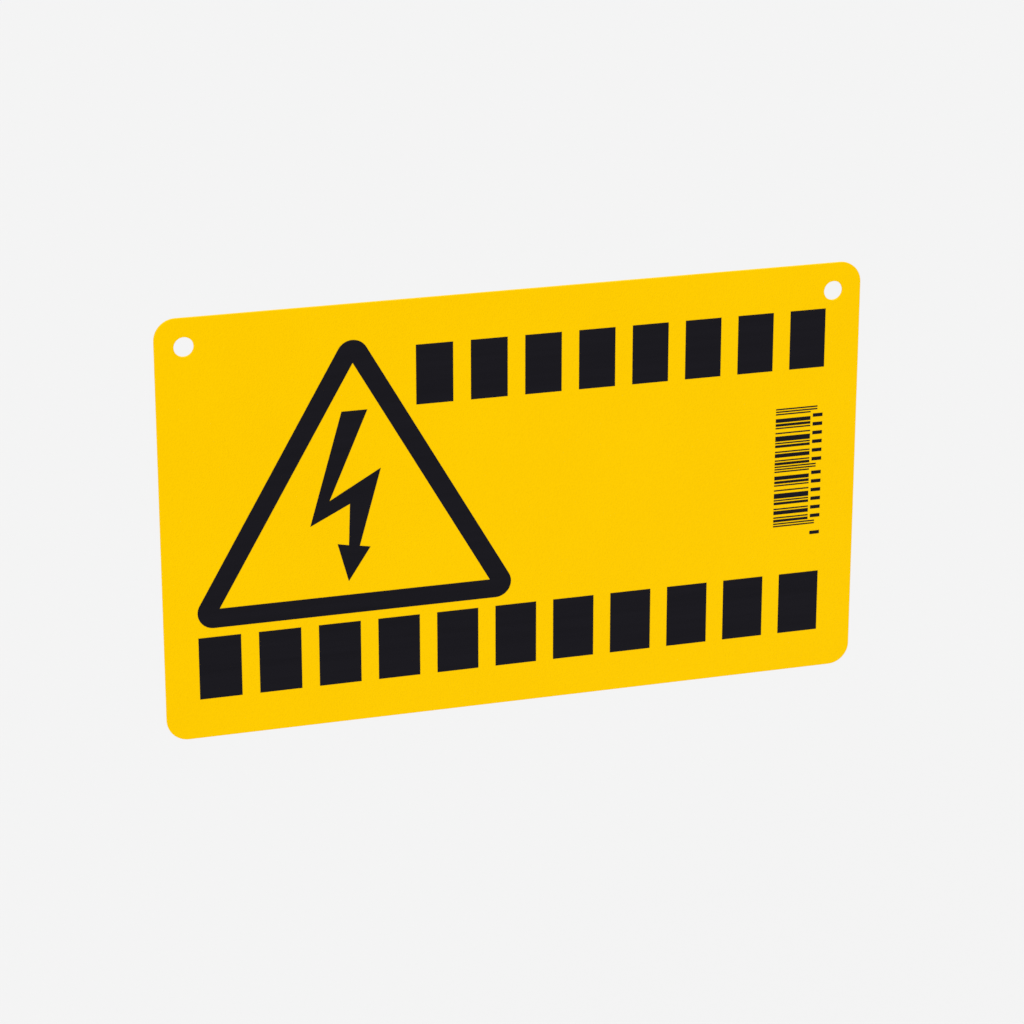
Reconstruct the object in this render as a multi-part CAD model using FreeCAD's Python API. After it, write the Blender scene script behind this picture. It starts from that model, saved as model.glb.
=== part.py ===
import FreeCAD, Part

import math
import os

# Electric fence warning sign: one thin yellow plastic plate, printed in black
# on both faces, that hangs by two punched holes in its upper corners.
# Millimetres, +Z up. The front faces -Y and +X is the reader's right. The
# origin lies halfway between the two holes, on the plate's back face.

# Plate
plate_width = 200.0
plate_height = 120.0
plate_thickness = 1.0
corner_radius = 6.0
edge_rounding = 0.2

# Hanging holes, from the plate's edges to their centres
hole_diameter = 5.5
hole_from_side = 8.0
hole_from_top = 8.0

# Print: the ink's thickness, and the margins at the plate's sides
ink_thickness = 0.05
margin_left = 9.4
margin_right = 10.2

# The two rows of plain blocks
heading_blocks = 8
heading_height = 16.9
heading_from_top = 12.9
heading_gap = 3.6  # from the triangle's border to the row, at the row's foot
lower_blocks = 11
lower_height = 17.9
lower_from_bottom = 11.4
block_gap = 5.0

# Warning triangle: a border with rounded outer corners and sharp inner ones
triangle_from_top = 10.0  # from the plate's top edge to the border's tip
triangle_gap = 2.6  # from the lower row up to the border
triangle_stroke = 5.45
triangle_rounding = 4.5

# Lightning arrow in the triangle, and its clearances to the border
bolt_tip_clearance = 3.95
bolt_corner_clearance = 3.35

# Its outline as drawn, in millimetres: across from the triangle's middle, and
# up from the arrow's tip. It is then fitted to the clearances.
bolt_outline = [
    (-3.3, 48.9),  # flat top
    (3.9, 48.9),
    (-7.05, 23.75),  # upper notch
    (7.45, 31.9),  # right spike
    (1.25, 10.0),  # shaft into the arrowhead
    (4.25, 9.45),  # right barb
    (-2.0, 0.0),  # tip
    (-5.0, 11.1),  # left barb
    (-1.8, 10.45),  # shaft into the arrowhead
    (-1.35, 22.4),  # lower notch
    (-12.55, 16.9),  # left spike
]

# Bar field at the right margin: bars that lie along X, stacked up the plate,
# and a column of small marks beside them
module_width = 0.37
bar_length = 10.4
guard_overhang = 2.0
mark_length = 2.9
mark_width = 1.0
mark_gap = 0.7  # from the bars' ends to the marks
lead_mark_gap = 2.2  # from the lowest bar down to the mark below the bars
marks_per_half = 6

# Gap and bar pairs in modules, from the lowest bar up. Both halves of the field
# have the first run. The second is the two guards below, between and above them.
half_run = [
    (1, 2), (1, 1), (2, 3), (1, 1), (3, 2), (1, 1),
    (1, 4), (2, 1), (3, 1), (1, 2), (1, 3), (3, 1),
]
guard_run = [(1, 1), (1, 1)]

plate_left = -plate_width / 2
plate_right = plate_width / 2
plate_top = hole_from_top
plate_bottom = plate_top - plate_height
front_y = -plate_thickness


def sharp_face(corners, y):
    """A flat face at y with these sharp (x, z) corners."""
    points = [FreeCAD.Vector(x, y, z) for x, z in corners]
    return Part.Face(Part.makePolygon(points + points[:1]))


def rounded_face(corners, radius, y):
    """A flat face at y with these (x, z) corners, each rounded to radius."""
    points = [FreeCAD.Vector(x, y, z) for x, z in corners]
    count = len(points)
    arcs = []
    for i in range(count):
        corner = points[i]
        back = (points[i - 1] - corner).normalize()
        ahead = (points[(i + 1) % count] - corner).normalize()
        half = back.getAngle(ahead) / 2
        inward = (back + ahead).normalize()
        setback = radius / math.tan(half)
        middle = corner + inward * (radius / math.sin(half) - radius)
        arcs.append(Part.Arc(corner + back * setback, middle, corner + ahead * setback))
    edges = []
    for i in range(count):
        edges.append(arcs[i].toShape())
        edges.append(Part.makeLine(arcs[i].EndPoint, arcs[(i + 1) % count].StartPoint))
    return Part.Face(Part.Wire(edges))


def box_corners(left, bottom, width, height):
    """The corners of an upright rectangle, in order round it."""
    right, top = left + width, bottom + height
    return [(left, bottom), (right, bottom), (right, top), (left, top)]


def print_front(faces):
    """Ink films on the plate's front face, one for each flat face."""
    films = [face.extrude(FreeCAD.Vector(0, -ink_thickness, 0)) for face in faces]
    return films[0] if len(films) == 1 else Part.makeCompound(films)


def print_back(film):
    """The same film on the back face, turned about the plate's upright middle
    line so that it reads the same way from behind."""
    turned = film.copy()
    turned.rotate(FreeCAD.Vector(0, front_y / 2, 0), FreeCAD.Vector(0, 0, 1), 180)
    return turned


def make_plate():
    """The plate with its two punched holes and its softened edges."""
    outline = box_corners(plate_left, plate_bottom, plate_width, plate_height)
    blank = rounded_face(outline, corner_radius, 0)
    plate = blank.extrude(FreeCAD.Vector(0, front_y, 0))
    for x in (plate_left + hole_from_side, plate_right - hole_from_side):
        centre = FreeCAD.Vector(x, 0, 0)
        towards_front = FreeCAD.Vector(0, -1, 0)
        punch = Part.makeCylinder(hole_diameter / 2, plate_thickness, centre, towards_front)
        plate = plate.cut(punch)
    rims = [edge for edge in plate.Edges if edge.BoundBox.YLength < plate_thickness / 2]
    return plate.makeFillet(edge_rounding, rims)


def block_row(left, right, bottom, height, blocks):
    """A row of equal plain blocks between left and right."""
    width = (right - left - (blocks - 1) * block_gap) / blocks
    faces = []
    for i in range(blocks):
        start = left + i * (width + block_gap)
        faces.append(sharp_face(box_corners(start, bottom, width, height), front_y))
    return print_front(faces)


# Heights and places that follow from the driving sizes
print_left = plate_left + margin_left
print_right = plate_right - margin_right
lower_bottom = plate_bottom + lower_from_bottom
lower_top = lower_bottom + lower_height
heading_bottom = plate_top - heading_from_top - heading_height

# The border's outer outline is an equal-sided triangle. Rounding a corner of
# it takes one radius off its tip, and sqrt(3) - 1 radii off its reach sideways.
root_three = math.sqrt(3)
outer_bottom = lower_top + triangle_gap
outer_top = plate_top - triangle_from_top + triangle_rounding
outer_height = outer_top - outer_bottom
outer_side = outer_height * 2 / root_three
outer_left = print_left - (root_three - 1) * triangle_rounding
triangle_middle = outer_left + outer_side / 2

inner_bottom = outer_bottom + triangle_stroke
inner_top = outer_top - 2 * triangle_stroke
inner_height = inner_top - inner_bottom
inner_side = inner_height * 2 / root_three

heading_left = triangle_middle + (outer_top - heading_bottom) / root_three + heading_gap


def triangle_corners(bottom, side):
    """The corners of an equal-sided triangle that stands on its base."""
    return [
        (triangle_middle - side / 2, bottom),
        (triangle_middle + side / 2, bottom),
        (triangle_middle, bottom + side * root_three / 2),
    ]


def make_triangle():
    """The warning triangle's border."""
    outer = rounded_face(triangle_corners(outer_bottom, outer_side), triangle_rounding, front_y)
    inner = sharp_face(triangle_corners(inner_bottom, inner_side), front_y)
    return print_front([outer.cut(inner).Faces[0]])


def make_bolt():
    """The lightning arrow, as large as its two clearances in the border allow.
    The first is below its tip, and the second beside its top right corner."""
    corner_across, drawn_height = bolt_outline[1]
    room = inner_height - bolt_tip_clearance - 2 * bolt_corner_clearance
    scale = room / (drawn_height + root_three * corner_across)
    tip_level = inner_bottom + bolt_tip_clearance
    corners = [
        (triangle_middle + across * scale, tip_level + up * scale)
        for across, up in bolt_outline
    ]
    return print_front([sharp_face(corners, front_y)])


def run_length(run):
    """The modules that a run of gap and bar pairs takes."""
    return sum(gap + bar for gap, bar in run)


half_modules = run_length(half_run)
guard_modules = run_length(guard_run)
first_gap = guard_run[0][0]  # left out below the lowest bar
code_modules = 3 * guard_modules + 2 * half_modules - first_gap
code_length = code_modules * module_width
code_height = code_length + lead_mark_gap + mark_width
code_bottom = (lower_top + heading_bottom + code_height) / 2 - code_length

marks_left = print_right - mark_length
bars_right = marks_left - mark_gap
bars_left = bars_right - bar_length


def make_code_bars():
    """The stack of bars: guards, a half, guards, a half, guards."""
    half = [(pair, bar_length) for pair in half_run]
    guards = [(pair, bar_length + guard_overhang) for pair in guard_run]
    level = code_bottom - first_gap * module_width
    faces = []
    for (gap, bar), length in guards + half + guards + half + guards:
        level += gap * module_width
        corners = box_corners(bars_left, level, length, bar * module_width)
        faces.append(sharp_face(corners, front_y))
        level += bar * module_width
    return print_front(faces)


def make_code_marks():
    """Small plain marks beside the bars, and one more below them."""
    pitch = half_modules * module_width / marks_per_half
    first_half = code_bottom + (guard_modules - first_gap) * module_width
    second_half = first_half + (half_modules + guard_modules) * module_width
    levels = [code_bottom - lead_mark_gap - mark_width]
    for start in (first_half, second_half):
        levels += [start + i * pitch + (pitch - mark_width) / 2 for i in range(marks_per_half)]
    faces = []
    for level in levels:
        corners = box_corners(marks_left, level, mark_length, mark_width)
        faces.append(sharp_face(corners, front_y))
    return print_front(faces)


triangle = make_triangle()
bolt = make_bolt()
heading = block_row(heading_left, print_right, heading_bottom, heading_height, heading_blocks)
lower_row = block_row(print_left, print_right, lower_bottom, lower_height, lower_blocks)

parts = {
    "plate": make_plate(),
    "triangle_front": triangle,
    "bolt_front": bolt,
    "heading_front": heading,
    "lower_row_front": lower_row,
    "code_bars": make_code_bars(),
    "code_marks": make_code_marks(),
    "triangle_back": print_back(triangle),
    "bolt_back": print_back(bolt),
    "heading_back": print_back(heading),
    "lower_row_back": print_back(lower_row),
}

os.makedirs("parts", exist_ok=True)
for name, shape in parts.items():
    shape.exportStep("parts/" + name + ".step")
    print(name, len(shape.Solids), "solids", round(shape.Volume, 3), "mm3")
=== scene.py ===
import bpy
import math
import numpy as np
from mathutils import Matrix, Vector


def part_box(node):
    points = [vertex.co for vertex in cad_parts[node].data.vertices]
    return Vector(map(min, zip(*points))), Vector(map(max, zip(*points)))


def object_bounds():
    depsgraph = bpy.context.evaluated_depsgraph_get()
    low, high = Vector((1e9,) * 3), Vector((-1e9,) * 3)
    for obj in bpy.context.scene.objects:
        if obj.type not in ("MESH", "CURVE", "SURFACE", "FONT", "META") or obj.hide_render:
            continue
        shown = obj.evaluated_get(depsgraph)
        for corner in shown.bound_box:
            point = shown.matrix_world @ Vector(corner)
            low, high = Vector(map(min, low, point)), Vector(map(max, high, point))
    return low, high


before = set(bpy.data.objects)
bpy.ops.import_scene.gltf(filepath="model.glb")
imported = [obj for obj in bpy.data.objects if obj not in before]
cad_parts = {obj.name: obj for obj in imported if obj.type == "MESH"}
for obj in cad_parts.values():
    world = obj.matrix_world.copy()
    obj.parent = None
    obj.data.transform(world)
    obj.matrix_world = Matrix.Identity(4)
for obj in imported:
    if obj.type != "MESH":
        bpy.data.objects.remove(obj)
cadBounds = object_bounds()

# A yellow plastic fence sign that hangs by two holes, printed in black on both faces. The
# plate and the print keep the frame's own meshes: this script gives them their finish, and
# makes the studio and the camera. Lengths are metres, angles degrees, and +Z is up.
print("frame loaded:", len(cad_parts), "nodes")


# Shader maths

class Num:
    # A number on its way through a node tree. Sums with it add their Math nodes.
    def __init__(self, nodes, socket):
        self.nodes = nodes
        self.socket = socket

    def __add__(self, other):
        return self.nodes.maths("ADD", self, other)

    def __sub__(self, other):
        return self.nodes.maths("SUBTRACT", self, other)

    def __rsub__(self, other):
        return self.nodes.maths("SUBTRACT", other, self)

    def __mul__(self, other):
        return self.nodes.maths("MULTIPLY", self, other)

    def __abs__(self):
        return self.nodes.maths("ABSOLUTE", self)

    __radd__ = __add__
    __rmul__ = __mul__


class Nodes:
    # The node tree of a material or of the world, emptied first.
    def __init__(self, owner):
        owner.use_nodes = True
        self.tree = owner.node_tree
        self.tree.nodes.clear()

    def add(self, kind, settings=None, values=None, output=None):
        # One node: its settings first, then a value or a link for each socket, by name or
        # place. It gives back the output asked for, or else the first one.
        node = self.tree.nodes.new(kind)
        for name, setting in (settings or {}).items():
            setattr(node, name, setting)
        for key, value in (values or {}).items():
            self.put(self.pick(node.inputs, key), value)
        if not node.outputs:
            return None
        socket = self.pick(node.outputs, output)
        return Num(self, socket) if socket.type == "VALUE" else socket

    def pick(self, sockets, key):
        # The socket at a place, or the first in use that has this name, or any name if None
        if isinstance(key, int):
            return sockets[key]
        return next(socket for socket in sockets if socket.enabled and key in (None, socket.name))

    def put(self, socket, value):
        if isinstance(value, Num):
            value = value.socket
        if isinstance(value, bpy.types.NodeSocket):
            self.tree.links.new(value, socket)
        else:
            socket.default_value = value

    def maths(self, operation, *numbers):
        return self.add("ShaderNodeMath", {"operation": operation}, dict(enumerate(numbers)))

    def objectPlace(self):
        # The point on the piece, in the frame's metres
        return self.add("ShaderNodeTexCoord", output="Object")

    def noise(self, place, sizes, detail=1.0, roughness=0.5):
        # Soft noise about 0, mostly between -0.3 and 0.3. The sizes of its features are one
        # number for each direction, or one for all three.
        scales = (1 / np.broadcast_to(sizes, 3)).tolist()
        scaled = self.add("ShaderNodeVectorMath", {"operation": "MULTIPLY"}, {0: place, 1: scales})
        values = {"Vector": scaled, "Scale": 1.0, "Detail": detail, "Roughness": roughness}
        return self.add("ShaderNodeTexNoise", values=values, output="Fac") - 0.5

    def blend(self, factor, first, second):
        # The first colour where the factor is 0, and the second where it is 1
        values = {"Factor": factor, "A": (*first, 1.0), "B": (*second, 1.0)}
        return self.add("ShaderNodeMix", {"data_type": "RGBA"}, values)

    def fade(self, value, start, end):
        # 0 up to start, 1 past end, and a smooth rise between them
        values = {"Value": value, "From Min": start, "From Max": end}
        return self.add("ShaderNodeMapRange", {"interpolation_type": "SMOOTHSTEP"}, values)

    def relief(self, height):
        # The normal of a surface raised by this height in metres
        return self.add("ShaderNodeBump", values={"Distance": 1.0, "Height": height})

    def surface(self, values):
        shader = self.add("ShaderNodeBsdfPrincipled", values=values)
        self.add("ShaderNodeOutputMaterial", values={"Surface": shader})


def wear(node, material):
    # Puts a material on one of the frame's nodes
    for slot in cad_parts[node].material_slots:
        slot.material = material


# Plate: satin yellow sheet, coloured right through, with sheared edges and punched holes

platePlastic = {
    "lightColour": (0.985, 0.604, 0.0),
    "deepColour": (0.955, 0.560, 0.0),
    "cloudSize": 0.045,  # slow drift of the tone across the sheet
    "cloudShare": 0.8,
    "mottleSize": 0.0012,  # pigment that isn't quite evenly spread
    "mottleShare": 0.6,
    "roughness": 0.46,
    "roughnessSpread": 0.12,
    "edgeRoughness": 0.16,  # added on the sheared edges
    "specularLevel": 0.15,
    "specularTint": (1.0, 0.85, 0.0),  # so that the sheen stays yellow
    "grainSize": 0.00042,  # fine satin grain of the rolled sheet
    "grainHeight": 0.000085,
    "waveSize": 0.014,  # long shallow waves
    "waveHeight": 0.00006,
    "shearWidth": 0.00022,  # fine lines that run across the thickness
    "shearLength": 0.0044,
    "shearHeight": 0.00004,
    "softRim": 0.00008,  # where the sheared band fades towards the two faces
}


def makePlatePlastic(look):
    material = bpy.data.materials.new("platePlastic")
    nodes = Nodes(material)
    place = nodes.objectPlace()
    low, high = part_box("plate")

    # The sheared band: the middle of the thickness, where only the plate's edges and the
    # holes' walls lie
    across = nodes.add("ShaderNodeSeparateXYZ", values={"Vector": place}, output="Y")
    depth = abs(across - (low.y + high.y) / 2)
    wallEnd = (high.y - low.y) / 2 - look["softRim"]
    sheared = 1 - nodes.fade(depth, wallEnd - look["softRim"], wallEnd)

    # Tone: a slow drift plus fine mottle, about the middle between the two colours
    cloud = nodes.noise(place, look["cloudSize"], detail=2.0)
    mottle = nodes.noise(place, look["mottleSize"], detail=3.0, roughness=0.6)
    tone = 0.5 + cloud * look["cloudShare"] + mottle * look["mottleShare"]
    colour = nodes.blend(tone, look["deepColour"], look["lightColour"])
    roughness = look["roughness"] + mottle * look["roughnessSpread"]
    roughness = roughness + sheared * look["edgeRoughness"]

    # Relief: grain and long waves on the faces, lines across the thickness on the edges
    grain = nodes.noise(place, look["grainSize"])
    wave = nodes.noise(place, look["waveSize"], detail=0.0)
    lineSizes = [look["shearWidth"], look["shearLength"], look["shearWidth"]]
    lines = nodes.noise(place, lineSizes)
    height = grain * look["grainHeight"] + wave * look["waveHeight"]
    height = height * (1 - sheared) + lines * sheared * look["shearHeight"]

    nodes.surface({
        "Base Color": colour,
        "Roughness": roughness,
        "Specular IOR Level": look["specularLevel"],
        "Specular Tint": (*look["specularTint"], 1.0),
        "Normal": nodes.relief(height),
    })
    return material


wear("plate", makePlatePlastic(platePlastic))
print("plate finished")


# Print: thin black ink, pushed through a screen on to both faces

inkFilm = {
    "thinColour": (0.0049, 0.0042, 0.0078),
    "fullColour": (0.0023, 0.0018, 0.0044),
    "streakLength": 0.06,  # faint streaks along the pull of the squeegee
    "streakWidth": 0.0022,
    "streakShare": 1.2,
    "roughness": 0.40,
    "roughnessSpread": 0.16,
    "specularLevel": 0.1,
    "peelSize": 0.0007,  # the ink's own fine unevenness
    "peelHeight": 0.00005,
}
inkNodes = sorted(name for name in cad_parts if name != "plate")


def makeInkFilm(look):
    material = bpy.data.materials.new("inkFilm")
    nodes = Nodes(material)
    place = nodes.objectPlace()
    streakSizes = [look["streakLength"], look["streakWidth"], look["streakWidth"]]
    streak = nodes.noise(place, streakSizes, detail=2.0)
    peel = nodes.noise(place, look["peelSize"], detail=2.0)
    tone = 0.5 + streak * look["streakShare"]
    nodes.surface({
        "Base Color": nodes.blend(tone, look["thinColour"], look["fullColour"]),
        "Roughness": look["roughness"] + streak * look["roughnessSpread"],
        "Specular IOR Level": look["specularLevel"],
        "Normal": nodes.relief(peel * look["peelHeight"]),
    })
    return material


inkMaterial = makeInkFilm(inkFilm)
for name in inkNodes:
    wear(name, inkMaterial)
print("print finished:", len(inkNodes), "nodes")


# Floor: a plain pale sheet well below the sign, as it hangs

studioFloor = {
    "drop": 1.0,  # from the sign's lowest edge
    "reach": 9.0,
    "rings": 12,
    "spokes": 96,
    "colour": 0.742,  # as bright as the background, under the light below
}


def makeFloor(piece, level):
    # A round sheet: the point at reach r and angle a is (r cos a, r sin a, level), and one
    # point more closes it at its middle.
    reaches = np.linspace(0.0, piece["reach"], piece["rings"] + 1)[1:]
    turns = np.arange(piece["spokes"]) * 2 * np.pi / piece["spokes"]
    ring, turn = np.meshgrid(reaches, turns, indexing="ij")
    points = np.stack([ring * np.cos(turn), ring * np.sin(turn), np.full_like(ring, level)], -1)
    middle = np.array([[0.0, 0.0, level]])
    points = np.concatenate([middle, points.reshape(-1, 3)])

    # Four-sided faces between neighbouring rings, and three-sided ones round the middle
    first = 1 + np.arange(piece["rings"] * piece["spokes"]).reshape(piece["rings"], -1)
    following = np.roll(first, -1, axis=1)
    quads = np.stack([first[:-1], first[1:], following[1:], following[:-1]], -1).reshape(-1, 4)
    fans = np.stack([np.zeros_like(first[0]), first[0], following[0]], -1)
    mesh = bpy.data.meshes.new("studioFloor")
    mesh.from_pydata(points.tolist(), [], quads.tolist() + fans.tolist())
    floor = bpy.data.objects.new("studioFloor", mesh)
    bpy.context.scene.collection.objects.link(floor)

    material = bpy.data.materials.new("studioFloor")
    pale = (piece["colour"],) * 3 + (1.0,)
    Nodes(material).surface({"Base Color": pale, "Roughness": 1.0, "Specular IOR Level": 0.0})
    mesh.materials.append(material)


makeFloor(studioFloor, cadBounds[0].z - studioFloor["drop"])
print("floor laid")


# Light: an even surround and two wide soft lamps, one for each face of the sign

studioLight = {
    "surround": 0.565,  # the world's strength as the surfaces see it
    "background": 0.905,  # and as the camera and mirror-like surfaces see it
    "lampPower": 1.6,
    "lampSpread": 35.0,
    "lampHeight": 40.0,
    "frontTurn": -35.0,  # to the reader's left of the front
    "backTurn": 145.0,  # straight across from the front lamp
}


def makeSurround(light):
    world = bpy.data.worlds.new("studioSurround")
    bpy.context.scene.world = world
    nodes = Nodes(world)
    seen = nodes.add("ShaderNodeLightPath", output="Is Camera Ray")
    for kind in ("Is Glossy Ray", "Is Transmission Ray"):
        seen = seen + nodes.add("ShaderNodeLightPath", output=kind)

    def glow(strength):
        values = {"Color": (1.0, 1.0, 1.0, 1.0), "Strength": strength}
        return nodes.add("ShaderNodeBackground", values=values)

    # The mixed shaders' two inputs share one name, so they are picked by place
    values = {"Fac": seen, 1: glow(light["surround"]), 2: glow(light["background"])}
    surround = nodes.add("ShaderNodeMixShader", values=values)
    nodes.add("ShaderNodeOutputWorld", values={"Surface": surround})


def outward(turn, height):
    # The direction out from the sign: turn is 0 in front of it and 90 at the reader's right
    turn, height = math.radians(turn), math.radians(height)
    flat = math.cos(height)
    return Vector((math.sin(turn) * flat, -math.cos(turn) * flat, math.sin(height)))


def makeLamp(name, turn, light):
    lamp = bpy.data.lights.new(name, "SUN")
    lamp.energy = light["lampPower"]
    lamp.angle = math.radians(light["lampSpread"])
    holder = bpy.data.objects.new(name, lamp)
    holder.rotation_euler = outward(turn, light["lampHeight"]).to_track_quat("Z", "Y").to_euler()
    bpy.context.scene.collection.objects.link(holder)


makeSurround(studioLight)
makeLamp("frontLamp", studioLight["frontTurn"], studioLight)
makeLamp("backLamp", studioLight["backTurn"], studioLight)
print("light set")


# Camera: from the left and above, aimed a little left of the plate's middle and below it

photoCamera = {
    "turn": -17.07,
    "height": 19.59,
    "distance": 0.981,
    "lens": 125.0,  # millimetres, as the sensor's width is
    "sensor": 36.0,
    "aimAcross": -0.0015,
    "aimUp": -0.0035,
}


def makeCamera(view):
    low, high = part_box("plate")
    middle = (low + high) / 2
    aim = Vector((middle.x + view["aimAcross"], low.y, middle.z + view["aimUp"]))
    back = outward(view["turn"], view["height"])
    camera = bpy.data.cameras.new("photoCamera")
    camera.sensor_width = view["sensor"]
    camera.lens = view["lens"]
    holder = bpy.data.objects.new("photoCamera", camera)
    holder.location = aim + back * view["distance"]
    holder.rotation_euler = back.to_track_quat("Z", "Y").to_euler()
    bpy.context.scene.collection.objects.link(holder)
    bpy.context.scene.camera = holder


makeCamera(photoCamera)
bpy.context.scene.view_settings.view_transform = "Standard"
print("camera set")
